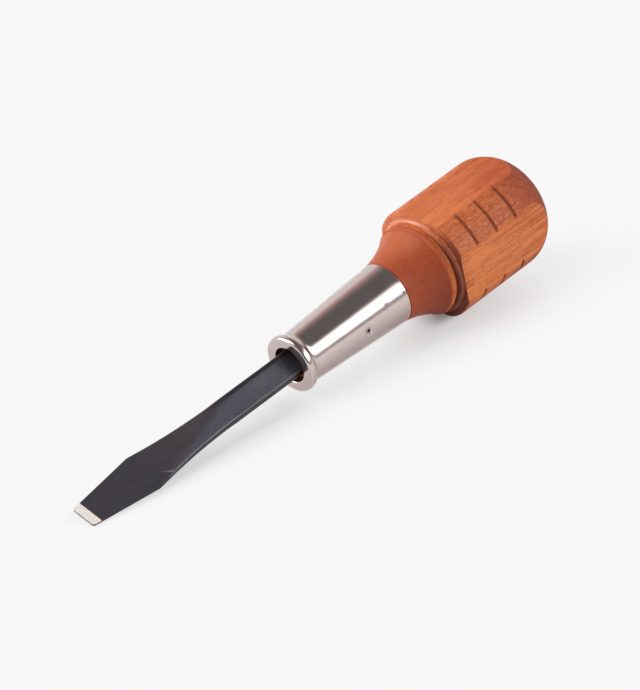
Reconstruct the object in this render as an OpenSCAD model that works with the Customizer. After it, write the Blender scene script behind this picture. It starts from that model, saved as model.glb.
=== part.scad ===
// Flat-bladed screwdriver for the slotted nuts of a saw's handle.
// A forged blade sits by its tang in a turned hardwood handle, under a pinned metal ferrule.
// Millimetres. The tool lies along X, with the origin in the middle of the tip's end face,
// the butt at +X, and the four flats of the grip facing Y and Z.

/* [Blade] */
// Width of the tip
tip_w = 7.5; // [5:0.1:9]
// Thickness of the tip
tip_t = 0.6; // [0.4:0.05:1.2]
// Length of the parallel ground end
tip_ground = 2.7; // [1:0.1:6]
// Greatest width of the blade
blade_w = 12.5; // [9.5:0.1:16]
// Distance from the tip to the greatest width
blade_l = 21.5; // [12:0.5:28]
// Length of the hollow curve from the greatest width to the shank
flare_l = 27; // [14:0.5:36]
// Hollow of that curve below its chord
flare_bow = 0.5; // [0.1:0.05:0.9]
// Distance from the tip at which the wedge reaches the bar's thickness, on the axis
wedge_l = 41; // [20:0.5:60]
// Width of the shank
shank_w = 7.6; // [6:0.1:8.5]
// Thickness of the shank
shank_t = 2.7; // [1.8:0.1:4]
// Length of the blade in front of the ferrule
blade_out = 75.5; // [68:0.5:110]
// Turn of the shank and tang about the axis, against the flats of the grip
blade_turn = 23; // [0:1:30]
// Turn of the hammered wedge about the axis, against the shank
wedge_twist = -5.5; // [-8:0.5:8]

/* [Tang] */
// Length of the tang behind the ferrule's front
tang_l = 56; // [46:0.5:64]
// Width of the tang at its end
tang_end_w = 4; // [3:0.1:5.5]

/* [Ferrule] */
// Length of the ferrule
ferrule_l = 37.8; // [30:0.1:44]
// Diameter of the cone just behind the rim
ferrule_front_d = 14.6; // [13.5:0.1:16]
// Diameter of the cone at the wood
ferrule_back_d = 18.2; // [17:0.1:20]
// Wall of the cone
ferrule_wall = 0.8; // [0.5:0.1:1.2]
// Diameter of the rolled rim
rim_d = 16.6; // [16.2:0.1:19]
// Thickness of the rolled rim along the axis
rim_t = 2.8; // [2:0.1:3.4]
// Rounding of the rim's front edge
rim_edge = 0.8; // [0.4:0.05:1]
// Hole in the front for the shank
hole_d = 10.4; // [9.4:0.1:11.5]
// Rounding at the edge of the hole
hole_round = 0.4; // [0.2:0.05:0.8]

/* [Ferrule pin] */
// Diameter of the pin
pin_d = 1.1; // [0.8:0.1:2]
// Length of the pin
pin_l = 3.6; // [2.4:0.1:3.9]
// Distance of the pin behind the ferrule's front
pin_back = 22.5; // [14:0.5:26]
// Depth of the pin's end below the ferrule's surface
pin_sink = 0.25; // [0.1:0.05:0.5]

/* [Handle] */
// Length of the hollow neck from the ferrule to the crest
neck_l = 12.3; // [9:0.1:18]
// Hollow of the neck below its chord
neck_bow = 0.5; // [0.1:0.05:1]
// Diameter of the crest that ends the neck
crest_d = 27.3; // [24:0.1:28]
// Rounding of the crest
crest_round = 0.75; // [0.3:0.05:0.8]
// Diameter at the bottom of the quirk behind the crest
quirk_d = 25.2; // [23:0.1:25.9]
// Distance from the crest to the shoulder of the grip
collar_l = 3.1; // [2.1:0.1:4]
// Diameter of the bead below the shoulder
bead_d = 29.2; // [28.4:0.1:29.4]
// Rounding of the bead
bead_round = 1.3; // [0.8:0.1:1.5]
// Length of the grip from its shoulder to the butt
grip_l = 40.3; // [37.5:0.1:56]
// Diameter of the grip over its lands
grip_d = 33.2; // [31.5:0.1:36]
// Width of the grip over its flats
grip_flats = 29.5; // [29.3:0.1:31]
// Rounding of the grip's edge at the shoulder
shoulder_round = 0.35; // [0.2:0.05:1.2]
// Rounding from the side of the grip into the butt
butt_round = 10; // [7:0.1:12]
// Radius of the crown of the butt
butt_crown = 20.6; // [18:0.1:30]

/* [Grooves] */
// Number of turned grooves on the lands
groove_count = 3; // [1:1:3]
// Distance from the shoulder to the first groove
groove_start = 6.9; // [4:0.1:9]
// Distance between grooves
groove_pitch = 7.7; // [4:0.1:8.5]
// Width of a groove
groove_w = 1.2; // [0.6:0.1:2]
// Depth of a groove
groove_deep = 0.45; // [0.3:0.05:1]

/* [Fits] */
// Gap all round where a piece is driven into the wood or through the ferrule
fit_gap = 0.05; // [0.02:0.01:0.1]

/* [Hidden] */

// Steps in a curve of a turned or forged outline
curve_steps = 12;
// Facets that the preview shows round a turned piece
turn_facets = 96;
// Overshoot of a cut past the surface that it opens
cut_over = 1;

// Places along the axis
ferrule_x = blade_out;
ferrule_back_x = ferrule_x + ferrule_l;
cone_x = ferrule_x + rim_t;
nose_x = cone_x + fit_gap;
crest_x = ferrule_back_x + neck_l;
shoulder_x = crest_x + collar_l;
butt_x = shoulder_x + grip_l;
tang_x = ferrule_x + tang_l;
pin_x = ferrule_x + pin_back;

// Radii of the ferrule and of the wood inside it
front_r = ferrule_front_d / 2;
back_r = ferrule_back_d / 2;
rim_r = rim_d / 2;
rim_round = rim_t / 2;
hole_r = hole_d / 2;
grip_r = grip_d / 2;
crest_r = crest_d / 2;
quirk_r = quirk_d / 2;
bead_r = bead_d / 2;

// The crown and the side rounding of the butt meet without an edge
crown_x = butt_x - butt_crown;
round_x = crown_x + sqrt(pow(butt_crown - butt_round, 2) - pow(grip_r - butt_round, 2));
crown_angle = atan2(grip_r - butt_round, round_x - crown_x);

// Points of a circle's arc about a centre, from one angle to another
function arc(centre, radius, from, to) =
    [for (i = [0 : curve_steps])
        let (a = from + (to - from) * i / curve_steps)
        centre + radius * [cos(a), sin(a)]];

// Points of a shallow curve between two points, bowed to the right of the way it runs
function bowed(from, to, bow) =
    let (way = (to - from) / norm(to - from))
    [for (i = [0 : curve_steps])
        let (t = i / curve_steps)
        from + (to - from) * t + 4 * bow * t * (1 - t) * [way[1], -way[0]]];

// Radius of the ferrule's cone at a place along the axis
function cone_r(x) = front_r + (back_r - front_r) * (x - cone_x) / (ferrule_back_x - cone_x);

// Half thickness of the wedge at a place along the axis, on past the bar's own thickness
function wedge_half(x) = tip_t / 2 + (shank_t - tip_t) / 2 * (x - tip_ground) / (wedge_l - tip_ground);

// Half width of the tang at a place along the axis
function tang_half(x) = shank_w / 2 + (tang_end_w - shank_w) / 2 * (x - ferrule_x) / tang_l;

// Outline of a half turned piece, as points of place and radius, turned about the X axis
module turned(outline) {
    rotate([0, 90, 0])
        rotate_extrude($fn = turn_facets)
            polygon([for (p = outline) [p[1], p[0]]]);
}

// Plate of an outline that is mirrored about the X axis, thick along the blade's own normal
module blade_plate(half_outline, thickness) {
    back = [for (i = [len(half_outline) - 1 : -1 : 0]) [half_outline[i][0], -half_outline[i][1]]];
    translate([0, 0, -thickness / 2])
        linear_extrude(thickness)
            polygon(concat(half_outline, back));
}

// Outline of the blade seen on its broad side, from tip to tang
function broad_outline() = concat(
    [[0, tip_w / 2]],
    bowed([blade_l, blade_w / 2], [blade_l + flare_l, shank_w / 2], flare_bow),
    [[ferrule_x, shank_w / 2]],
    [[tang_x, tang_end_w / 2]]
);

// Outline of the hammered wedge seen on its edge, which grows past the thickness of the bar
function wedge_outline() = [
    [0, tip_t / 2],
    [tip_ground, tip_t / 2],
    [tang_x, wedge_half(tang_x)]
];

// Turned outline of the handle from its nose to the butt
function handle_outline() = concat(
    [[nose_x, 0]],
    [[nose_x, cone_r(nose_x) - ferrule_wall - fit_gap]],
    [[ferrule_back_x + fit_gap, back_r - ferrule_wall - fit_gap]],
    bowed([ferrule_back_x + fit_gap, back_r], [crest_x - crest_round, crest_r - crest_round], neck_bow),
    arc([crest_x, crest_r - crest_round], crest_round, 170, 0),
    [[crest_x + crest_round, quirk_r]],
    [[shoulder_x - bead_round, quirk_r]],
    arc([shoulder_x, bead_r - bead_round], bead_round, 180, 90),
    arc([shoulder_x + shoulder_round, grip_r - shoulder_round], shoulder_round, 180, 90),
    [for (k = [0 : groove_count - 1], p = groove_outline(shoulder_x + groove_start + k * groove_pitch)) p],
    arc([round_x, grip_r - butt_round], butt_round, 90, crown_angle),
    arc([crown_x, 0], butt_crown, crown_angle, 0)
);

// Outline of one round-bottomed groove in the grip
function groove_outline(x) =
    [for (i = [0 : curve_steps])
        let (a = 180 * i / curve_steps)
        [x - groove_w / 2 * cos(a), grip_r - groove_deep * sin(a)]];

// Outline of the ferrule: out along the rolled rim and cone, and back along the inside
function ferrule_outline() = concat(
    arc([ferrule_x + hole_round, hole_r + hole_round], hole_round, 270, 180),
    arc([ferrule_x + rim_edge, rim_r - rim_edge], rim_edge, 180, 90),
    arc([ferrule_x + rim_round, rim_r - rim_round], rim_round, 90, 60),
    [[cone_x, front_r]],
    [[ferrule_back_x, back_r]],
    [[ferrule_back_x, back_r - ferrule_wall]],
    [[cone_x, front_r - ferrule_wall]],
    [[cone_x, hole_r]]
);

// Space of the pin, from a depth below the ferrule's surface inwards, on the -Y side
module pin_space(radius, from_depth, length) {
    surface_r = cone_r(pin_x);
    translate([pin_x, -surface_r + from_depth, 0])
        rotate([-90, 0, 0])
            cylinder(r = radius, h = length, $fn = turn_facets);
}

// Handle turned from one piece of hardwood, planed with four flats and mortised for the tang
module handle() {
    color("peru")
    difference() {
        intersection() {
            turned(handle_outline());
            translate([0, -grip_flats / 2, -grip_flats / 2])
                cube([butt_x + cut_over, grip_flats, grip_flats]);
        }
        rotate([blade_turn, 0, 0])
            blade_plate([
                [nose_x - cut_over, tang_half(nose_x - cut_over) + fit_gap],
                [tang_x + fit_gap, tang_end_w / 2 + fit_gap]
            ], shank_t + 2 * fit_gap);
        pin_space(pin_d / 2 + fit_gap, pin_sink, pin_l + fit_gap);
    }
}

// Ferrule drawn from sheet, with a rolled rim and a punched hole for its pin
module ferrule() {
    color("silver")
    difference() {
        turned(ferrule_outline());
        pin_space(pin_d / 2 + fit_gap, -cut_over, 2 * cut_over + ferrule_wall);
    }
}

// Headless pin that holds the ferrule on the wood
module ferrule_pin() {
    color("dimgray")
    pin_space(pin_d / 2, pin_sink, pin_l);
}

// Blade, shank and tang forged in one: a flat bar, cut by the two faces of the wedge
module blade() {
    color("darkslategray")
    rotate([blade_turn, 0, 0])
        intersection() {
            blade_plate(broad_outline(), shank_t);
            rotate([90 + wedge_twist, 0, 0])
                blade_plate(wedge_outline(), blade_w + shank_t + 2 * cut_over);
        }
}

handle();
ferrule();
ferrule_pin();
blade();
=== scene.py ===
import bmesh
import bpy
import numpy as np
from mathutils import Matrix


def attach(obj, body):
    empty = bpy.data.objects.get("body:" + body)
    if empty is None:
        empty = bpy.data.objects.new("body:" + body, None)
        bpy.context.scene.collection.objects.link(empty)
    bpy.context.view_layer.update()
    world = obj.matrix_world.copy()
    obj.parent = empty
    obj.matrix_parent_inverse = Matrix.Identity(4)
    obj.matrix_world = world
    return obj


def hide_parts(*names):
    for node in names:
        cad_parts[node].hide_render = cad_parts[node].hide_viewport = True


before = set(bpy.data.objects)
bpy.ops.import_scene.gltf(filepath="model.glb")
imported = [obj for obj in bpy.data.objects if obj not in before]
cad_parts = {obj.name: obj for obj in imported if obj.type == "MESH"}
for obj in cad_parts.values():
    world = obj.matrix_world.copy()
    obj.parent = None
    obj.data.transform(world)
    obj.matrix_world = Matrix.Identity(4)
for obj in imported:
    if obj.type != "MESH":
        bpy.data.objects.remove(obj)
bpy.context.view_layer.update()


# Handle: one billet of beech, turned between centres to a nose, hollow neck, crest, quirk, bead and
# grip. Four flats are planed on the grip, three rings are cut in the lands between them, and the
# wood is stained orange brown and rubbed with a satin varnish. A mortise takes the tang.
MM = 0.001
# Sizes are in millimetres, x along the tool from its tip and r from its axis. Where the crest starts and
# ends, and where a ring is gone or has its full depth, is in degrees.
nose_x, nose_r = 78.35, 6.45
seat_x, seat_r, neck_r, neck_bow = 113.35, 8.25, 9.1, 0.65
crest_x, crest_r, crest_round = 125.7, 13.65, 1.0
crest_starts, crest_ends = 145, 20.5
quirk_r = 13.0
shoulder_x, shoulder_round = 128.7, 0.8
bead_r, bead_round = 14.6, 1.3
grip_r, flat_r, flat_edge = 16.6, 14.75, 0.22
ring_first, ring_pitch, ring_count = 6.9, 7.7, 3
ring_half, ring_deep, ring_power = 0.6, 0.45, 1.2
ring_gone, ring_full = 25.0, 31.0
butt_x, butt_round, butt_crown = 169.0, 10.0, 20.6
mortise_x, mortise_half, mortise_mouth, mortise_end = 131.55, 1.4, 3.76, 2.05
blade_turn = np.radians(23)
ring_places = shoulder_x + ring_first + ring_pitch * np.arange(ring_count)


def arc(centre, radius, start, end, steps):
    """Points of a circle about a centre, from one angle to another, in degrees."""
    angle = np.radians(np.linspace(start, end, steps + 1))
    return np.stack([centre[0] + radius * np.cos(angle), centre[1] + radius * np.sin(angle)], 1)


def bowed(start, end, bow, steps):
    """Chord between two points, pushed to the right of its way by a parabola that is bow deep halfway."""
    start, end = np.array(start), np.array(end)
    t = np.linspace(0, 1, steps + 1)[:, None]
    way = (end - start) / np.linalg.norm(end - start)
    return start + (end - start) * t + 4 * bow * t * (1 - t) * np.array([way[1], -way[0]])


def stepped(points, longest):
    """The same outline, with each straight run cut into equal steps no longer than longest."""
    points = np.asarray(points, float)
    runs = np.linalg.norm(np.diff(points, axis=0), axis=1)
    steps = np.ceil(runs / longest).astype(int)
    place = np.concatenate([[0], np.repeat(1 / steps, steps).cumsum()])
    return np.stack([np.interp(place, np.arange(len(points)), points[:, k]) for k in (0, 1)], 1)


def soft_min(first, second, soft):
    """The lower of two values, rounded over by a parabola where they come within soft of each other."""
    share = np.clip(0.5 + 0.5 * (second - first) / soft, 0, 1)
    return second * (1 - share) + first * share - soft * share * (1 - share)


def smooth(value, low, high):
    """Rises from 0 at low to 1 at high along the S of 3t squared less 2t cubed."""
    t = np.clip((value - low) / (high - low), 0, 1)
    return t * t * (3 - 2 * t)


def ring_cut(place):
    """Outline of one ring: its depth goes as (1 - u squared) to a power, u from -1 to 1 over its width."""
    u = np.linspace(-1, 1, 17)
    return np.stack([place + ring_half * u, grip_r - ring_deep * (1 - u * u) ** ring_power], 1)


crown_x = butt_x - butt_crown
round_x = crown_x + np.sqrt((butt_crown - butt_round) ** 2 - (grip_r - butt_round) ** 2)
crown_angle = np.degrees(np.arctan2(grip_r - butt_round, round_x - crown_x))
crest = arc([crest_x, crest_r - crest_round], crest_round, crest_starts, crest_ends, steps=16)
ringed_land = []
land_end = [shoulder_x + shoulder_round, grip_r]
for ring_place in ring_places:
    ring = ring_cut(ring_place)
    ringed_land += [stepped([land_end, ring[0]], longest=0.9)[1:], ring[1:]]
    land_end = ring[-1]
turned = np.concatenate([
    stepped([[nose_x, nose_r], [seat_x, seat_r], [seat_x, neck_r]], longest=3.0)[1:],
    bowed([seat_x, neck_r], crest[0], neck_bow, steps=26)[1:-1],
    crest,
    stepped([crest[-1], [shoulder_x - bead_round, quirk_r]], longest=0.2)[1:],
    arc([shoulder_x, bead_r - bead_round], bead_round, 180, 90, steps=12),
    stepped([[shoulder_x, bead_r], [shoulder_x, grip_r - shoulder_round]], longest=0.16)[1:],
    arc([shoulder_x + shoulder_round, grip_r - shoulder_round], shoulder_round, 180, 90, steps=10)[1:],
    *ringed_land,
    stepped([land_end, [round_x, grip_r]], longest=0.5)[1:],
    arc([round_x, grip_r - butt_round], butt_round, 90, crown_angle, steps=40)[1:],
    arc([crown_x, 0], butt_crown, crown_angle, 0, steps=26)[1:-1],
])

# Degrees from the middle of a flat to the middle of a land, in finer steps where the flat's edge lies.
half_quarter = np.concatenate([np.arange(0, 24, 1.5), np.arange(24, 30.5, 0.5), np.arange(31.5, 45, 1.5)])
quarter = np.concatenate([-half_quarter[:0:-1], half_quarter])
quarters = [(quarter + 90 * count) % 360 for count in range(4)]
mouth_corner = np.degrees(np.arctan2(mortise_half, mortise_mouth))
mouth_corners = np.array([-mouth_corner, mouth_corner, 180 - mouth_corner, 180 + mouth_corner])
corners = (np.degrees(blade_turn) + mouth_corners) % 360
around = np.radians(np.unique(np.concatenate([*quarters, corners]).round(4)))


def grip_radius(radius, angle):
    """Turned radius, cut to the four flats: a flat lies at its distance over the cosine of the angle
    from it."""
    flat = flat_r / np.maximum(np.abs(np.cos(angle)), np.abs(np.sin(angle)))
    return soft_min(radius, flat, flat_edge)


def mortise_radius(half_width, angle):
    """Wall of the mortise in polar form: the nearer of the rectangle's two pairs of sides."""
    wide, thick = np.abs(np.cos(angle - blade_turn)), np.abs(np.sin(angle - blade_turn))
    return 1 / np.maximum(wide / half_width, thick / mortise_half)


def run_out(angle):
    """Share of a ring's depth that is sanded away: all of it at the edge of the upper and lower flats."""
    from_upright = np.degrees(np.arccos(np.minimum(np.abs(np.sin(angle)), 1)))
    return 1 - smooth(from_upright, ring_gone, ring_full)


def in_ring(x):
    """Whether a place along the grip lies within the width of a ring."""
    return np.abs(x[:, None] - ring_places).min(1) < ring_half


mortise_rows = np.linspace(mortise_x, nose_x, 12)
mortise_width = np.interp(mortise_rows, [nose_x, mortise_x], [mortise_mouth, mortise_end])
mouth_radius = mortise_radius(mortise_mouth, around)
nose_share = np.linspace(0, 1, 6)[1:, None]
ring_depth = np.where(in_ring(turned[:, 0]), grip_r - turned[:, 1], 0)
radii = np.concatenate([
    mortise_radius(mortise_width[:, None], around[None, :]),
    mouth_radius + (nose_r - mouth_radius) * nose_share,
    grip_radius(turned[:, 1:] + ring_depth[:, None] * run_out(around), around[None, :]),
])
places = np.concatenate([mortise_rows, np.full(len(nose_share), nose_x), turned[:, 0]])
handle_rings = np.stack([
    np.broadcast_to(places[:, None], radii.shape),
    radii * np.cos(around),
    radii * np.sin(around),
], -1)


def joined_quads(at, closed):
    """Quads between neighbouring rings of a grid of point numbers; closed also joins the last ring to
    the first."""
    low, high = (at, np.roll(at, -1, 0)) if closed else (at[:-1], at[1:])
    return np.stack([low, high, np.roll(high, -1, 1), np.roll(low, -1, 1)], -1)


def capped(rings):
    """Points and faces of a closed skin whose two end rings are drawn together to their middles."""
    rows, columns = rings.shape[:2]
    at = np.arange(rows * columns).reshape(rows, columns)
    points = np.concatenate([rings.reshape(-1, 3), rings[0].mean(0)[None], rings[-1].mean(0)[None]])
    first, last = rows * columns, rows * columns + 1
    fans = [
        np.stack([np.full(columns, first), at[0], np.roll(at[0], -1)], -1),
        np.stack([np.full(columns, last), np.roll(at[-1], -1), at[-1]], -1),
    ]
    return points, joined_quads(at, False).reshape(-1, 4).tolist() + np.concatenate(fans).tolist()


def piece_of(name, points, faces, crease):
    """Object from points in millimetres: doubles merged, faces turned outwards, and shaded smooth up to
    the crease angle in degrees."""
    same_point = 0.002 * MM
    mesh = bpy.data.meshes.new(name)
    mesh.from_pydata((points * MM).tolist(), [], faces)
    work = bmesh.new()
    work.from_mesh(mesh)
    bmesh.ops.remove_doubles(work, verts=work.verts, dist=same_point)
    bmesh.ops.recalc_face_normals(work, faces=work.faces)
    work.to_mesh(mesh)
    work.free()
    mesh.shade_smooth()
    mesh.set_sharp_from_angle(angle=np.radians(crease))
    made = bpy.data.objects.new(name, mesh)
    bpy.context.scene.collection.objects.link(made)
    return made


def points_of(mesh):
    """The mesh's points in millimetres, one row for each."""
    points = np.empty(len(mesh.vertices) * 3)
    mesh.vertices.foreach_get("co", points)
    return points.reshape(-1, 3) / MM


def normals_of(mesh):
    """The outward direction at each point of the mesh."""
    normals = np.empty(len(mesh.vertices) * 3)
    mesh.vertex_normals.foreach_get("vector", normals)
    return normals.reshape(-1, 3)


def mark(mesh, name, values):
    """Keeps one number for each point of the mesh, for its material to read."""
    mesh.attributes.new(name, "FLOAT", "POINT").data.foreach_set("value", values.astype(np.float32))


handle = piece_of("turned_handle", *capped(handle_rings), crease=38)
spots, facing = points_of(handle.data), normals_of(handle.data)
angle = np.arctan2(spots[:, 2], spots[:, 1])
radius = np.hypot(spots[:, 1], spots[:, 2])
from_flat = np.abs((np.degrees(angle) + 45) % 90 - 45)
below_flat = flat_r - np.abs(spots[:, 1:]).max(1)
on_grip = spots[:, 0] > shoulder_x + 0.05
mark(handle.data, "land", on_grip * smooth(below_flat, 0.03, 0.22))
mark(handle.data, "side_flat", on_grip * smooth(np.abs(facing[:, 1]), 0.8, 0.97))
mark(handle.data, "end_grain", np.abs(facing[:, 0]) * (spots[:, 0] > seat_x - 1))
uncut = np.minimum(grip_radius(np.full_like(radius, grip_r), angle), grip_r)
# Painted shade: the rings darken with their depth, and the nose darkens where it sits inside the ferrule.
ring_shade = np.sqrt(np.maximum(uncut - radius, 0) / ring_deep) * smooth(from_flat, 24.0, 28.0)
nose_shade = 1.1 * (1 - smooth(spots[:, 0], nose_x, nose_x + 3))
mark(handle.data, "hollow", np.maximum(in_ring(spots[:, 0]) * ring_shade, nose_shade))


class Grain:
    """A shader value that can be reckoned with: arithmetic on it adds the Math nodes that work it out."""

    def __init__(self, tree, socket=None):
        self.tree = tree
        self.socket = socket

    def add(self, kind, settings, inputs, output=0):
        """Adds a node: its settings first, then a value or a link for each input; gives back one output."""
        made = self.tree.nodes.new("ShaderNode" + kind)
        for setting, value in settings.items():
            setattr(made, setting, value)
        for place, value in inputs.items():
            if isinstance(value, Grain):
                self.tree.links.new(value.socket, made.inputs[place])
            else:
                made.inputs[place].default_value = value
        return Grain(self.tree, made.outputs[output] if made.outputs else None)

    def reckon(self, operation, first, second=0.0):
        """One Math node on one value or two."""
        return self.add("Math", {"operation": operation}, {0: first, 1: second})

    def __add__(self, other):
        return self.reckon("ADD", self, other)

    def __radd__(self, other):
        return self.reckon("ADD", other, self)

    def __sub__(self, other):
        return self.reckon("SUBTRACT", self, other)

    def __rsub__(self, other):
        return self.reckon("SUBTRACT", other, self)

    def __mul__(self, other):
        return self.reckon("MULTIPLY", self, other)

    def __rmul__(self, other):
        return self.reckon("MULTIPLY", other, self)

    def __truediv__(self, other):
        return self.reckon("DIVIDE", self, other)

    def __pow__(self, other):
        return self.reckon("POWER", self, other)

    def __abs__(self):
        return self.reckon("ABSOLUTE", self)

    def fraction(self):
        """What the value has over a whole number."""
        return self.reckon("FRACT", self)

    def rise(self, low, high):
        """0 below low, 1 above high, and an S between them."""
        settings = {"interpolation_type": "SMOOTHSTEP"}
        return self.add("MapRange", settings, {"Value": self, "From Min": low, "From Max": high})

    def fall(self, low, high):
        """1 below low, 0 above high, and an S between them."""
        return 1 - self.rise(low, high)

    def band(self, start, full, fade, end):
        """A rise from start to full, times a fall from fade to end."""
        return self.rise(start, full) * self.fall(fade, end)

    def tint(self, first, second):
        """The first colour where this value is 0, the second where it is 1."""
        settings = {"data_type": "RGBA", "clamp_factor": True}
        return self.add("Mix", settings, {0: self, 6: first, 7: second}, 2)

    def part(self, axis):
        """One of a position's X, Y and Z."""
        return self.add("SeparateXYZ", {}, {0: self}, axis)

    def away(self, spot):
        """How far this position is from a spot."""
        return self.add("VectorMath", {"operation": "DISTANCE"}, {0: self, 1: spot}, "Value")

    def dot(self, way):
        """How far this position lies along a way of length 1."""
        return self.add("VectorMath", {"operation": "DOT_PRODUCT"}, {0: self, 1: way}, "Value")

    def speckle(self, stretch, detail=2.0, rough=0.5):
        """Noise over this position, which is first multiplied by stretch along each axis."""
        place = self.add("VectorMath", {"operation": "MULTIPLY"}, {0: self, 1: stretch})
        inputs = {"Vector": place, "Scale": 1.0, "Detail": detail, "Roughness": rough}
        return self.add("TexNoise", {}, inputs)

    def marked(self, name):
        """A number kept at the points of the mesh."""
        return self.add("Attribute", {"attribute_name": name}, {}, "Fac")

    def raised(self, strength, depth):
        """Normal of a surface that this value raises by a depth in millimetres."""
        return self.add("Bump", {}, {"Strength": strength, "Distance": depth * MM, "Height": self})


def new_finish(name):
    """An empty node material, and the position on the piece in millimetres to start its nodes from."""
    finish = bpy.data.materials.new(name)
    finish.use_nodes = True
    finish.node_tree.nodes.clear()
    start = Grain(finish.node_tree)
    place = start.add("TexCoord", {}, {}, "Object")
    return finish, start.add("VectorMath", {"operation": "SCALE"}, {0: place, "Scale": 1 / MM})


def put_on(piece, finish, mm, sockets):
    """Gives a piece its finish: one Principled surface, with a value or a link for each socket."""
    surface = mm.add("BsdfPrincipled", {}, sockets)
    mm.add("OutputMaterial", {}, {"Surface": surface})
    piece.data.materials.append(finish)


def shade(red, green, blue):
    """A colour as seen on screen, 0 to 255, as the light values that a shader takes."""
    seen = np.array([red, green, blue]) / 255
    light = np.where(seen <= 0.04045, seen / 12.92, ((seen + 0.055) / 1.055) ** 2.4)
    return (*light, 1.0)


wood_deep, wood_pale = shade(174, 75, 42), shade(231, 137, 81)
land_brown, fleck_pale, pore_brown = shade(180, 82, 46), shade(232, 142, 96), shade(140, 61, 39)
neck_red, neck_shade_brown = shade(155, 61, 41), shade(112, 48, 44)
butt_early, butt_late = shade(141, 63, 48), shade(125, 54, 42)
step_shade_dark, bead_shade_brown = shade(84, 34, 30), shade(112, 52, 42)
crest_top_shade, hollow_shade_brown = shade(155, 60, 38), shade(84, 34, 24)
pith_y, pith_z, year, year_wander = 26.0, -34.0, 2.3, 5.0

stained_beech, mm = new_finish("stained_beech")
along, sideways, upwards = mm.part(0), mm.part(1), mm.part(2)
land, side_flat = mm.marked("land"), mm.marked("side_flat")
end_grain, hollow = mm.marked("end_grain"), mm.marked("hollow")
wander = mm.speckle((0.02, 0.11, 0.11)) - 0.5
from_pith = ((sideways - pith_y) ** 2.0 + (upwards - pith_z) ** 2.0) ** 0.5 + wander * year_wander
late_wood = (from_pith / year).fraction().band(0.35, 0.95, 0.95, 1.0)
streaks = mm.speckle((0.08, 0.95, 0.95), 3.0, 0.6)
fibres = mm.speckle((0.22, 3.4, 3.4), 3.0, 0.6)
ribbon = mm.speckle((0.06, 0.8, 2.2), 3.0, 0.6)
clouds = mm.speckle((0.07, 0.16, 0.16))
flecks = mm.speckle((0.62, 2.9, 2.9), 1.0).rise(0.5, 0.66)
pores = mm.speckle((0.4, 4.2, 4.2), 1.0).rise(0.53, 0.68)

# The figure of the wood: weak on the neck, ribboned on the side flats, and deeper towards the butt.
neck = along.fall(crest_x - 1.2, crest_x - 0.4)
figure = 1 - 0.65 * neck
tone = (
    0.59
    + (streaks - 0.5) * 0.5 * figure
    + (fibres - 0.5) * 0.6 * figure
    + (clouds - 0.5) * 0.5
    - late_wood * 0.08 * figure
    + (ribbon - 0.38) * 1.8 * side_flat
    - along.rise(shoulder_x + 1.3, butt_x + 3.0) * 0.32
    - along.fall(shoulder_x + 0.3, shoulder_x + 4.8) * 0.2 * side_flat
)
wood = tone.rise(0.0, 1.0).tint(wood_deep, wood_pale)
wood = (land * 0.3).tint(wood, land_brown)
wood = (flecks * land * 0.55).tint(wood, fleck_pale)
wood = (pores * (0.42 + land * 0.18) * figure).tint(wood, pore_brown)

# The stain: strong on the neck and on the end grain of the butt. Painted light and shade lie over it: the
# neck lighter on its upper far side and darker underneath, the collar's end-grain faces and the bead darker
# on the lower near side, the crest darker on top, and the rings and the nose darker in their hollows.
# Painted light: the neck's stain thins on its upper far side, which faces the lamps.
neck_lit_side = (sideways * 0.5 + upwards * 0.85).rise(5.5, 10.5)
neck_stain_and_light = (0.45 + streaks * 0.6) * (1 - neck_lit_side * 0.3)
wood = (neck * neck_stain_and_light).tint(wood, neck_red)
# Painted shade: the neck darker on its underside, towards the crest.
neck_underside_shade = along.rise(seat_x + 0.65, crest_x - 1.7) * upwards.fall(-2.0, 10.0)
wood = (neck * neck_underside_shade * 0.35).tint(wood, neck_shade_brown)
butt = along.rise(butt_x - 19.0, butt_x - 9.0)
butt_stain = butt * (land * 0.5 + end_grain.rise(0.1, 0.8) * 0.4)
wood = butt_stain.tint(wood, late_wood.tint(butt_early, butt_late))
step_face = along.band(crest_x + 0.5, crest_x + 0.9, shoulder_x + 0.2, shoulder_x + 0.6)
step_face = end_grain.rise(0.3, 0.85) * step_face
# Painted shade over end-grain stain: the collar's end-grain faces darken on the lower near side only.
lower_near_shade = (sideways * 0.75 + upwards * 0.66).fall(-4.0, 7.0)
wood = (step_face * lower_near_shade * 0.8).tint(wood, step_shade_dark)
# Painted shade: the bead darker on its lower side.
bead_underside_shade = along.band(shoulder_x - 1.6, shoulder_x - 1.3, shoulder_x, shoulder_x + 0.2)
bead_underside_shade = bead_underside_shade * upwards.fall(1.0, 8.0)
wood = (bead_underside_shade * (1 - step_face) * 0.85).tint(wood, bead_shade_brown)
# Painted shade: the crest darker on its upper side, damping its sheen.
crest_band = along.band(crest_x - 1.5, crest_x - 0.9, crest_x + 0.7, crest_x + 1.1)
upper_side = upwards.rise(0.0, 9.0)
wood = (crest_band * upper_side * 0.55).tint(wood, crest_top_shade)
# Painted shade in the rings and on the nose inside the ferrule.
wood = (hollow * 0.55).tint(wood, hollow_shade_brown)

burnished = along.band(shoulder_x - 1.7, shoulder_x - 1.4, shoulder_x - 0.1, shoulder_x + 0.2)
open_grain = fibres * 0.5 + flecks * land * 0.25 - pores * 0.4 * figure
put_on(handle, stained_beech, mm, {
    "Base Color": wood,
    "Roughness": 0.46 - tone * 0.1 + hollow * 0.2 + butt * land * 0.15 + crest_band * 0.25,
    "Coat Weight": burnished * (0.3 + upper_side * 0.5),
    "Coat Roughness": 0.25,
    "Specular IOR Level": 0.18,
    "Normal": open_grain.raised(0.25, 0.05),
})
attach(handle, "root")
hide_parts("handle")


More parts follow.
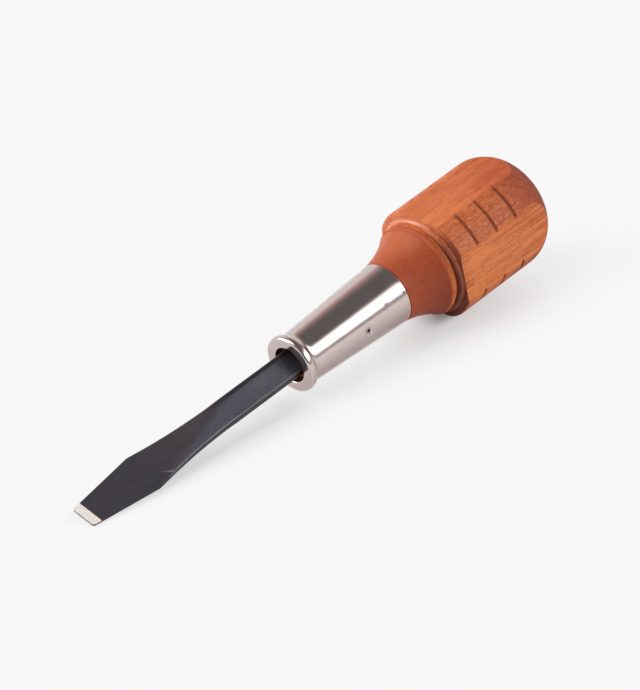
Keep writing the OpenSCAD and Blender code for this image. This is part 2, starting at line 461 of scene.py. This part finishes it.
# Ferrule: a cone of thin steel, drawn and spun, with its front rolled over into a thick rim round the
# hole for the shank, then polished and nickel plated. It is driven onto the nose, its back edge is
# turned in a little to sit flush with the neck, and a punch dimples its side round the hole for a pin.
fit_gap = 0.05
wall, hole_r, hole_round = 0.8, 5.2, 0.25
rim_x, rim_r, rim_edge, rim_round, rim_leaves = 75.5, 8.3, 0.8, 1.4, 44
hollow_end_x, hollow_reach, lip_round = 80.2, 0.75, 0.35
cone_x, cone_front_r = nose_x - fit_gap, nose_r + fit_gap + wall
cone_back_x, cone_back_r = seat_x - fit_gap, neck_r
cone_slope = (cone_back_r - cone_front_r) / (cone_back_x - cone_x)
pin_x, pin_hole_r, pin_side = 98.0, 0.6, np.pi
dimple_r, dimple_deep = 1.5, 0.38
hair = 1e-6


def cone_radius(x):
    """Outer radius of the cone, straight from its front to its back."""
    return cone_front_r + cone_slope * (x - cone_x)


def swept(start, start_way, end, end_way, steps):
    """Curve of the third degree between two points, leaving and arriving along the given ways."""
    t = np.linspace(0, 1, steps + 1)[:, None]
    start, end = np.array(start), np.array(end)
    near, far = start + np.array(start_way), end - np.array(end_way)
    return (1 - t) ** 3 * start + 3 * t * (1 - t) ** 2 * near + 3 * t * t * (1 - t) * far + t ** 3 * end


def on_cone(places, depth):
    """Outline of the cone at the given places, some depth under its surface."""
    return np.stack([places, cone_radius(places) - depth], 1)


# Distances of the lines of points from the middle of the pin, then the places of the cone's rings.
hole_steps = pin_hole_r * np.array([0.25, 0.5, 0.75, 1.0])
dimple_steps = np.array([0.72, 0.86, 1.02, 1.2, 1.4, 1.6, 1.85, 2.2])
pin_steps = np.concatenate([-dimple_steps[::-1], -hole_steps[::-1], [0], hole_steps, dimple_steps])
cone_step, lip_x = 1.1, cone_back_x - lip_round
before_pin = np.arange(hollow_end_x, pin_x - 2.6, cone_step)
behind_pin = np.arange(pin_x + 3.0, lip_x - 0.3, cone_step)
cone_places = np.concatenate([before_pin, pin_x + pin_steps, behind_pin, [lip_x]])
rim_end = np.radians(rim_leaves)
rim_middle = np.array([rim_x + rim_round, rim_r - rim_round])
rim_last = rim_middle + rim_round * np.array([np.cos(rim_end), np.sin(rim_end)])
hollow_way = hollow_reach * np.array([np.sin(rim_end), -np.cos(rim_end)])
cone_way = hollow_reach * np.array([1.0, cone_slope])
ferrule_outline = np.concatenate([
    arc([rim_x + hole_round, hole_r + hole_round], hole_round, 270, 180, steps=8),
    stepped([[rim_x, hole_r + hole_round], [rim_x, rim_r - rim_edge]], longest=0.25)[1:],
    arc([rim_x + rim_edge, rim_r - rim_edge], rim_edge, 180, 90, steps=14)[1:],
    arc(rim_middle, rim_round, 90, rim_leaves, steps=8),
    swept(rim_last, hollow_way, [hollow_end_x, cone_radius(hollow_end_x)], cone_way, steps=14)[1:-1],
    on_cone(cone_places, 0),
    arc([lip_x, cone_radius(cone_back_x) - lip_round], lip_round, 80, 0, steps=6),
    [[cone_back_x, cone_back_r - wall]],
    on_cone(cone_places[::-1], wall),
    [[cone_x, cone_front_r - wall], [cone_x, hole_r]],
    stepped([[cone_x, hole_r], [rim_x + hole_round, hole_r]], longest=0.8)[1:-1],
])
near_pin = np.arcsin(pin_steps / cone_radius(pin_x))
rest_of_turn = np.linspace(near_pin[-1], 2 * np.pi + near_pin[0], 150)[1:-1]
turn = pin_side + np.concatenate([near_pin, rest_of_turn])
ferrule_rings = np.stack([
    np.broadcast_to(ferrule_outline[:, :1], (len(ferrule_outline), len(turn))),
    ferrule_outline[:, 1:] * np.cos(turn),
    ferrule_outline[:, 1:] * np.sin(turn),
], -1)


def punched(rings, radius, depth):
    """Draws the square lines round the pin onto circles and presses them in: a point at the greater of
    its two distances m moves to the circle of radius m, less and less so towards the dimple's edge."""
    from_pin, height = rings[..., 0] - pin_x, rings[..., 2]
    reach = np.maximum(np.abs(from_pin), np.abs(height))
    spread = np.maximum(np.hypot(from_pin, height), hair)
    struck = (reach < dimple_r) & (rings[..., 1] < 0)
    share = np.where(struck, 1 - smooth(reach, pin_hole_r, dimple_r), 0)
    scale = 1 + (reach / spread - 1) * share
    x, z = pin_x + from_pin * scale, height * scale
    y = -np.sqrt(np.maximum((radius - depth * share) ** 2 - z ** 2, 0))
    return np.where((share > 0)[..., None], np.stack([x, y, z], -1), rings)


near_x = np.abs(ferrule_outline[:, 0] - pin_x) < dimple_steps[-1] + hair
on_skin = ferrule_outline[:, 1] > cone_radius(ferrule_outline[:, 0]) - wall / 2
outer_rows, inner_rows = np.flatnonzero(near_x & on_skin), np.flatnonzero(near_x & ~on_skin)
for rows, depth in ((outer_rows, dimple_deep), (inner_rows, 0)):
    ferrule_rings[rows] = punched(ferrule_rings[rows], ferrule_outline[rows, 1:], depth)
grid = np.arange(ferrule_rings[..., 0].size).reshape(ferrule_rings.shape[:2])
hole_span = np.flatnonzero(np.abs(pin_steps) <= pin_hole_r + hair)
hole_outer = outer_rows[hole_span]
hole_inner = inner_rows[::-1][hole_span]
kept = np.ones(grid.shape, bool)
kept[np.ix_(hole_outer[:-1], hole_span[:-1])] = False
kept[np.ix_(hole_inner[1:], hole_span[:-1])] = False


def edge_loop(rows):
    """Point numbers round the edge of the opened square of cells, in order."""
    block = grid[np.ix_(rows, hole_span)]
    return np.concatenate([block[0, :-1], block[:-1, -1], block[-1, :0:-1], block[:0:-1, 0]])


mouth, bottom = edge_loop(hole_outer), edge_loop(hole_inner)
hole_wall = np.stack([mouth, np.roll(mouth, -1), np.roll(bottom, -1), bottom], -1)
ferrule_faces = np.concatenate([joined_quads(grid, True)[kept], hole_wall])
used = np.unique(ferrule_faces)
ferrule_points = ferrule_rings.reshape(-1, 3)[used]
ferrule_faces = np.searchsorted(used, ferrule_faces).tolist()
ferrule = piece_of("nickel_ferrule", ferrule_points, ferrule_faces, crease=40)
spots = points_of(ferrule.data)
radius = np.hypot(spots[:, 1], spots[:, 2])
bore_skin = np.maximum(cone_radius(spots[:, 0]) - wall + 0.1, hole_r + 0.12)
mark(ferrule.data, "inside", (radius < bore_skin) * (spots[:, 0] > rim_x + 0.2))

plate_dim, plate_clear = shade(211, 194, 190), shade(221, 206, 202)
nick_dark, rub_grey, bore_shade_dark = shade(70, 58, 54), shade(104, 95, 92), shade(52, 42, 40)
nick_at, rub_at = (112.3, -8.25, 3.75), (105.6, -7.9, 3.7)

polished_nickel, mm = new_finish("polished_nickel")
spun_lines = mm.speckle((5.0, 0.25, 0.25))
haze = mm.speckle((0.25, 0.35, 0.35), 3.0)
scratches = mm.speckle((0.5, 6.0, 6.0), 1.0).rise(0.66, 0.74)
nick = mm.away(nick_at).fall(0.3, 0.6)
rubbed = mm.away(rub_at).fall(0.4, 1.9) * mm.speckle((1.2, 2.6, 2.6), 3.0).rise(0.49, 0.57)
plate = haze.tint(plate_dim, plate_clear)
plate = (nick * 0.85).tint(plate, nick_dark)
plate = (rubbed * 0.8).tint(plate, rub_grey)
# Painted shade: the bore and the wall of the pin hole are darkened.
plate = (mm.marked("inside") * 0.9).tint(plate, bore_shade_dark)
put_on(ferrule, polished_nickel, mm, {
    "Base Color": plate,
    "Metallic": 1.0,
    "Roughness": 0.08 + haze * 0.08 + scratches * 0.12 + nick * 0.3 + rubbed * 0.2,
    "Normal": (spun_lines + haze * 2.0).raised(0.06, 0.02),
})
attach(ferrule, "root")
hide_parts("ferrule")


# Ferrule pin: a short end of dark drawn wire, driven through the punched hole into the wood and set a
# little below the plate, with its end rounded over by the punch.
pin_r, pin_l, pin_sink = pin_hole_r - fit_gap, 3.6, 0.25
pin_dome, pin_edge, pin_cap_r = 0.1, 0.11, 0.3
pin_outer = cone_radius(pin_x) - pin_sink
pin_inner, pin_rim = pin_outer - pin_l, pin_outer - pin_dome - pin_edge
dome_share = np.linspace(0, 1, 7)[1:]
pin_outline = np.concatenate([
    np.stack([pin_outer - pin_dome * dome_share ** 2, (pin_r - pin_edge) * dome_share], 1),
    arc([pin_rim, pin_r - pin_edge], pin_edge, 0, 90, steps=5)[1:],
    stepped([[pin_rim, pin_r], [pin_inner, pin_r]], longest=0.7)[1:],
    [[pin_inner, pin_cap_r]],
])
pin_turn = np.linspace(0, 2 * np.pi, 49)[:-1]
pin_rings = np.stack([
    pin_x + pin_outline[:, 1:] * np.cos(pin_turn),
    np.broadcast_to(-pin_outline[:, :1], (len(pin_outline), len(pin_turn))),
    pin_outline[:, 1:] * np.sin(pin_turn),
], -1)
pin = piece_of("ferrule_pin_wire", *capped(pin_rings), crease=40)

wire_dark, wire_rust = shade(46, 36, 32), shade(92, 70, 58)

dark_wire, mm = new_finish("dark_wire")
rust = mm.speckle((3.0, 3.0, 3.0), 3.0)
put_on(pin, dark_wire, mm, {
    "Base Color": rust.rise(0.35, 0.7).tint(wire_dark, wire_rust),
    "Metallic": 0.7,
    "Roughness": 0.35 + rust * 0.3,
    "Normal": rust.raised(0.4, 0.04),
})
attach(pin, "root")
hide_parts("ferrule_pin")


# Blade: one forging of flat bar. The bar keeps its rounded edges along the shank and the tapered tang;
# its end is hammered out to a wide wedge, blackened in the fire, and the tip is ground bright.
# Of its sizes, half is half a width, and high is half a thickness.
tip_half, tip_high, tip_ground, tip_corner, tip_bevel = 3.75, 0.3, 2.6, 0.8, 0.05
wide_x, wide_half, wide_ease = 21.5, 6.25, 0.08
flare_l, flare_bow = 27.0, 0.5
shank_half, shank_high = 3.8, mortise_half - fit_gap
wedge_x, wedge_twist, wedge_ease = 41.0, np.radians(-5.5), 0.04
fold_x, fold_y, fold_slope, fold_ease = 24.2, -2.9, 0.035, 0.01
fold_way_x, fold_way_y = 0.65, 0.76
tang_x, tang_end_x, tang_end_half = rim_x, mortise_x - fit_gap, mortise_end - fit_gap
turn_cos, turn_sin = float(np.cos(blade_turn)), float(np.sin(blade_turn))


def blade_half_width(x):
    """Half the width: a straight flare from the tip, a hollow curve from the widest place to the shank,
    whose chord sags by a parabola, and the tang's even taper; the widest corner and the tip's corners
    are eased."""
    flare = tip_half + (wide_half - tip_half) * x / wide_x
    t = np.minimum((x - wide_x) / flare_l, 1)
    hollow_curve = wide_half + (shank_half - wide_half) * t - 4 * flare_bow * t * (1 - t)
    taper = (shank_half - tang_end_half) * np.clip((x - tang_x) / (tang_end_x - tang_x), 0, 1)
    into_corner = np.clip(tip_corner - x, 0, tip_corner)
    rounded_off = tip_corner - np.sqrt(tip_corner ** 2 - into_corner ** 2)
    return soft_min(flare, hollow_curve, wide_ease) - taper - rounded_off


def past_crease(x, y):
    """How far a place lies past the fold's crease, which is a straight line across the face."""
    return (x - fold_x) * fold_way_x + (y - fold_y) * fold_way_y


def face_height(x, y):
    """Height of the upper face over the bar's middle: the lowest of the bar's own face, the wedge's and
    the fold's. The wedge grows evenly from the ground tip, and its face stands at the twist, so it meets
    the bar on a slant; the fold is a blow beside the widest corner, a plane that falls away across its
    crease."""
    wedge = tip_high + (shank_high - tip_high) * np.maximum(x - tip_ground, 0) / (wedge_x - tip_ground)
    slanted = (wedge + y * np.sin(wedge_twist)) / np.cos(wedge_twist)
    fold = shank_high + fold_slope * past_crease(x, y)
    return soft_min(soft_min(slanted, np.full_like(slanted, shank_high), wedge_ease), fold, fold_ease)


def blade_edge(x):
    """Rounding of the long edges: nearly sharp at the tip, as the bar was rolled along the shank."""
    return np.interp(x, [0, 2.7, 16, 48, 140], [0.05, 0.06, 0.12, 0.28, 0.28])


# Places of the rings of points, closest at the tip's end and at the widest corner.
blade_x = np.concatenate([
    [0, 0.02, 0.06],
    np.linspace(0.12, tip_corner, 8),
    np.linspace(0.9, tip_ground, 5),
    np.linspace(2.8, 19, 22),
    np.linspace(19.8, 23, 17),
    np.linspace(23.6, 49, 44),
    np.linspace(50, tang_x, 20),
    np.linspace(78, tang_end_x, 16),
])
place = blade_x[:, None]
end_bevel = tip_bevel - np.minimum(place, tip_bevel)
half_w, edge_r = blade_half_width(place) - end_bevel, blade_edge(place)
inner_w = half_w - edge_r
top_near = face_height(place, -inner_w) - end_bevel
top_far = face_height(place, inner_w) - end_bevel
face_y = inner_w * np.linspace(1, -1, 19)
face_z = face_height(place, face_y) - end_bevel
side_run = np.linspace(0, 1, 5)[None, 1:-1]
bend = np.radians(np.linspace(0, 90, 7))[None]


def rounded(middle_y, middle_z, start):
    """Quarter circle about a corner's middle, from its start in degrees."""
    swung = bend + np.radians(start)
    return middle_y + edge_r * np.cos(swung), middle_z + edge_r * np.sin(swung)


def side_wall(y, high, low):
    """Straight run between the two corners of one side."""
    return y + 0 * side_run, high + (low - high) * side_run


walk = [
    (face_y[:, 1:-1], face_z[:, 1:-1]),
    rounded(-inner_w, top_near - edge_r, 90),
    side_wall(-half_w, top_near - edge_r, edge_r - top_far),
    rounded(-inner_w, edge_r - top_far, 180),
    (-face_y[:, 1:-1], -face_z[:, 1:-1]),
    rounded(inner_w, edge_r - top_near, 270),
    side_wall(half_w, edge_r - top_near, top_far - edge_r),
    rounded(inner_w, top_far - edge_r, 0),
]
across, through = (np.concatenate(run, 1) for run in zip(*walk))
blade_rings = np.stack([
    np.broadcast_to(place, across.shape),
    across * turn_cos - through * turn_sin,
    across * turn_sin + through * turn_cos,
], -1)
blade = piece_of("forged_blade", *capped(blade_rings), crease=40)


def own_frame(y, z):
    """A place across the blade's width and up through its thickness: the tool's Y and Z, turned back."""
    return y * turn_cos + z * turn_sin, z * turn_cos - y * turn_sin


spots = points_of(blade.data)
own_y, own_z = own_frame(spots[:, 1], spots[:, 2])
rounding = blade_edge(spots[:, 0])
past_face = (np.abs(own_y) - blade_half_width(spots[:, 0]) + rounding) / rounding
past_side = (np.abs(own_z) - face_height(spots[:, 0], own_y * np.sign(own_z)) + rounding) / rounding
# Bare worn edges with a painted highlight on them, strongest on the rounded corners.
mark(blade.data, "worn_glint_edge", 4 * np.clip(past_face, 0, 1) * np.clip(past_side, 0, 1))
mark(blade.data, "broad_face", (past_face < 0.6) * (spots[:, 0] > 0.04))

wedge_black, bar_grey, shank_sheen_grey = shade(58, 54, 63), shade(83, 83, 94), shade(96, 95, 103)
flare_brown, cloud_black, pit_black = shade(76, 66, 67), shade(38, 36, 41), shade(40, 38, 46)
drawn_grey, crease_glint_grey, worn_glint_grey = shade(98, 94, 98), shade(146, 143, 148), shade(150, 148, 152)
rim_shadow_black, scale_black, side_black = shade(30, 28, 31), shade(32, 30, 33), shade(34, 32, 35)
heat_brown, end_shade_grey = shade(72, 44, 36), shade(120, 117, 118)
stone_dull, stone_bright, stone_warm = shade(236, 229, 225), shade(252, 247, 243), shade(255, 238, 228)

fire_black, mm = new_finish("fire_blackened_steel")
along = mm.part(0)
own_across, own_up = own_frame(mm.part(1), mm.part(2))
worn_glint, broad = mm.marked("worn_glint_edge"), mm.marked("broad_face")
cloud = mm.speckle((0.1, 0.3, 0.3), 3.0)
drawn = mm.speckle((0.12, 5.0, 5.0))
pits = mm.speckle((1.6, 1.6, 1.6), 3.0)
upper_face = own_up.rise(0.0, 0.4)
past_fold = past_crease(along, own_across)

# The bar's face is greyer than the wedge, which it meets on a slant and which is browner past its flare;
# the wedge's deeper black is partly painted shade of its tilted face.
bar = (along - own_across * 3.6 + (cloud - 0.5) * 6.0).rise(38.0, 50.0)
bar = bar * past_fold.rise(-0.1, 0.15) * broad
black = bar.tint(wedge_black, bar_grey)
# Painted sheen: the shank lighter towards the ferrule.
black = (bar * along.rise(56.0, 70.0) * 0.6).tint(black, shank_sheen_grey)
brown = along.band(22.0, 32.0, 40.0, 60.0) * (1 - bar)
black = (brown * 0.5).tint(black, flare_brown)
black = (cloud.rise(0.4, 0.75) * 0.35).tint(black, cloud_black)
black = (pits.rise(0.5, 0.7) * 0.3).tint(black, pit_black)
black = (drawn.rise(0.55, 0.75) * 0.2).tint(black, drawn_grey)
# Painted highlight: a light line along the fold's crease.
crease_line = past_fold.band(-0.24, -0.06, 0.06, 0.24)
crease_line = crease_line * own_across.fall(fold_y - 2.6, fold_y + 0.3) * upper_face * broad
black = (crease_line * 0.75).tint(black, crease_glint_grey)
# Painted shadow of the rim on the shank where it enters the ferrule.
black = (along.rise(tang_x - 5.0, tang_x - 0.5) * 0.75).tint(black, rim_shadow_black)
scale_band = (own_across + (cloud - 0.5) * 0.6).rise(2.0, 2.7) * upper_face * along.rise(46.0, 56.0)
black = (scale_band * 0.85).tint(black, scale_black)
black = ((1 - broad) * 0.7).tint(black, side_black)
# Partly wear, partly painted highlight: the rounded long edges are lighter.
chafed_and_glinting = along.rise(24.0, 27.0) * (0.7 - along.rise(46.0, 60.0) * 0.3)
black = (worn_glint.rise(0.55, 1.0) * chafed_and_glinting).tint(black, worn_glint_grey)

# The tip is bright from the stone, with a brown line of heat behind it; its end face is painted a darker
# grey as shade.
stone_reach = 1 - (along + (drawn - 0.5) * 0.1).rise(tip_ground - 0.06, tip_ground + 0.06)
end_face = stone_reach * along.fall(0.03, 0.05)
heat_line = (1 - stone_reach) * along.fall(tip_ground, tip_ground + 0.5)
black = (heat_line * 0.7).tint(black, heat_brown)
stone_marks = mm.speckle((7.0, 0.6, 0.6))
bright = stone_marks.tint(stone_dull, stone_bright)
bright = along.rise(tip_ground - 0.75, tip_ground - 0.25).tint(bright, stone_warm)
# Painted shade: the end face darker grey.
bright = end_face.tint(bright, end_shade_grey)
ground = stone_reach * (broad + end_face)
put_on(blade, fire_black, mm, {
    "Base Color": ground.tint(black, bright),
    "Metallic": ground * 0.15,
    "Roughness": (0.46 - bar * 0.08 + (cloud - 0.5) * 0.2) * (1 - ground) + ground * 0.38,
    "Specular IOR Level": 0.35,
    "Normal": (drawn * 0.25 + pits * 0.5 + ground * stone_marks * 0.5).raised(0.25, 0.03),
})
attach(blade, "root")
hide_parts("blade")


# Floor: a plain pale table. The tool lies on one corner of its tip and on the front edge of the flat under
# the grip, so in the tool's own frame the table slopes down towards the butt. Its glow is cut by a mask
# laid along the tool, so the lit board's shadow shows deeper there: a painted deepening of the shadow, most
# of all where the grip touches down.
floor_at_tip, floor_slope, floor_reach = -1.40, -0.1039, 1500.0
touch_x, open_glow, mirror_share = 127.5, 0.95, 0.1
board_white, paper_white = (0.85, 0.864, 0.868, 1), (0.94, 0.94, 0.94, 1)
floor_line = np.linspace(-floor_reach, floor_reach, 5)
floor_x, floor_y = np.meshgrid(floor_line, floor_line)
floor_points = np.stack([floor_x, floor_y, floor_at_tip + floor_slope * floor_x], -1).reshape(-1, 3)
floor_at = np.arange(floor_x.size).reshape(floor_x.shape)
floor_faces = np.stack([floor_at[:-1, :-1], floor_at[:-1, 1:], floor_at[1:, 1:], floor_at[1:, :-1]], -1)
floor_mesh = bpy.data.meshes.new("table_top")
floor_mesh.from_pydata((floor_points * MM).tolist(), [], floor_faces.reshape(-1, 4).tolist())
floor = bpy.data.objects.new("table_top", floor_mesh)
bpy.context.scene.collection.objects.link(floor)

pale_board, mm = new_finish("pale_board")
along, sideways = mm.part(0), mm.part(1)
under_tool = (
    0.385
    + along.rise(68.0, 82.0) * 0.315
    - along.rise(95.0, 122.0) * 0.205
    + along.rise(130.0, 168.0) * 0.325
)
# Painted shadow: the glow is cut deepest where the grip touches down.
contact_shadow = abs(along - touch_x).fall(1.0, 9.0) * abs(sideways).fall(4.5, 9.0)
under_tool = under_tool - contact_shadow * 0.4
shaded = abs(sideways - 0.85 + along * 0.071).fall(0.0, along * 0.132 + 7.7) * along.rise(-6.0, 6.0)
glow_share = open_glow - (open_glow - under_tool) * shaded
looked_at = mm.add("LightPath", {}, {}, "Is Camera Ray")
mirrored = mm.add("LightPath", {}, {}, "Is Glossy Ray") + mm.add("LightPath", {}, {}, "Is Transmission Ray")
board = mm.add("BsdfPrincipled", {}, {
    "Base Color": board_white,
    "Roughness": 0.8,
    "Specular IOR Level": 0.0,
})
paper = mm.add("Emission", {}, {"Color": paper_white, "Strength": 1.0})
table = mm.add("MixShader", {}, {0: looked_at * glow_share + mirrored * mirror_share, 1: board, 2: paper})
mm.add("OutputMaterial", {}, {"Surface": table})
floor_mesh.materials.append(pale_board)


# Light: a white room with a dark ceiling. A broad lamp hangs overhead behind the tool, a window stands
# low behind it at the left, and a soft panel with a lit foot at its right. The wall behind is pale up
# to head height, and rosy along its upper edge.
room_light, lamp_light, window_light, panel_light, foot_light = 0.145, 3.1, 6.0, 6.3, 0.4
wall_light, wall_rosy = 0.7, 0.4
panel_side = (0.785, 0.62, 0)
backdrop = (0.939, 0.939, 0.939, 1)
studio = bpy.data.worlds.new("studio")
bpy.context.scene.world = studio
studio.use_nodes = True
studio.node_tree.nodes.clear()
room = Grain(studio.node_tree)
toward = room.add("TexCoord", {}, {}, "Generated")
height = toward.part(2)


def glow(centre, inner, outer):
    """Round patch of light in a direction: full within the inner angle, none past the outer, in degrees."""
    centre = np.array(centre) / np.linalg.norm(centre)
    edge, middle = np.cos(np.radians([outer, inner])).tolist()
    return toward.dot(tuple(centre)).rise(edge, middle)


lamp = glow((-0.25, 0.32, 0.91), 14, 22)
window = glow((-0.55, 0.7, 0.46), 13, 23)
panel_front = glow((0.62, -0.785, 0.3), 60, 75)
panel = abs(toward.dot(panel_side)).fall(0.36, 0.5) * height.band(0.05, 0.5, 0.35, 0.74) * panel_front
panel_foot = abs(height).fall(0.0, 0.14) * panel_front
wall_behind = glow((-0.2, 0.95, 0.1), 80, 110) * height.fall(0.4, 0.88) * wall_light
light = (
    room_light
    + lamp * lamp_light
    + window * window_light
    + panel * panel_light
    + panel_foot * foot_light
    + wall_behind
)
paler = light - wall_behind * height.rise(0.42, 0.6) * wall_rosy
seen = room.add("LightPath", {}, {}, "Is Camera Ray")
sky = seen.tint(room.add("CombineXYZ", {}, {0: light, 1: paler, 2: paler}), backdrop)
background = room.add("Background", {}, {"Color": sky, "Strength": 1.0})
room.add("OutputWorld", {}, {"Surface": background})


# Camera: a long lens above and to the right of the tip, as the photograph was taken. Its place is in
# metres and its angles in radians; the focal length is in pixels of a picture 690 pixels high.
aim, distance = np.array([0.0877, 0.0007, -0.0013]), 0.9933
azimuth, elevation, roll = -0.6847, 0.5935, -0.2096
focal_pixels, picture_pixels = 3752.0, 690
level = np.array([np.sin(azimuth), -np.cos(azimuth), 0])
back = level * np.cos(elevation) + np.array([0, 0, np.sin(elevation)])
right = np.array([np.cos(azimuth), np.sin(azimuth), 0])
above = np.cross(back, right)
standing = np.eye(4)
standing[:3, 0] = np.cos(roll) * right + np.sin(roll) * above
standing[:3, 1] = np.cos(roll) * above - np.sin(roll) * right
standing[:3, 2] = back
standing[:3, 3] = aim + back * distance
lens = bpy.data.cameras.new("camera")
lens.sensor_width = 36.0
lens.lens = focal_pixels / picture_pixels * lens.sensor_width
lens.clip_start, lens.clip_end = 0.01, 20.0
camera = bpy.data.objects.new("camera", lens)
bpy.context.scene.collection.objects.link(camera)
camera.matrix_world = Matrix(standing.tolist())
bpy.context.scene.camera = camera
bpy.context.scene.view_settings.view_transform = "Standard"
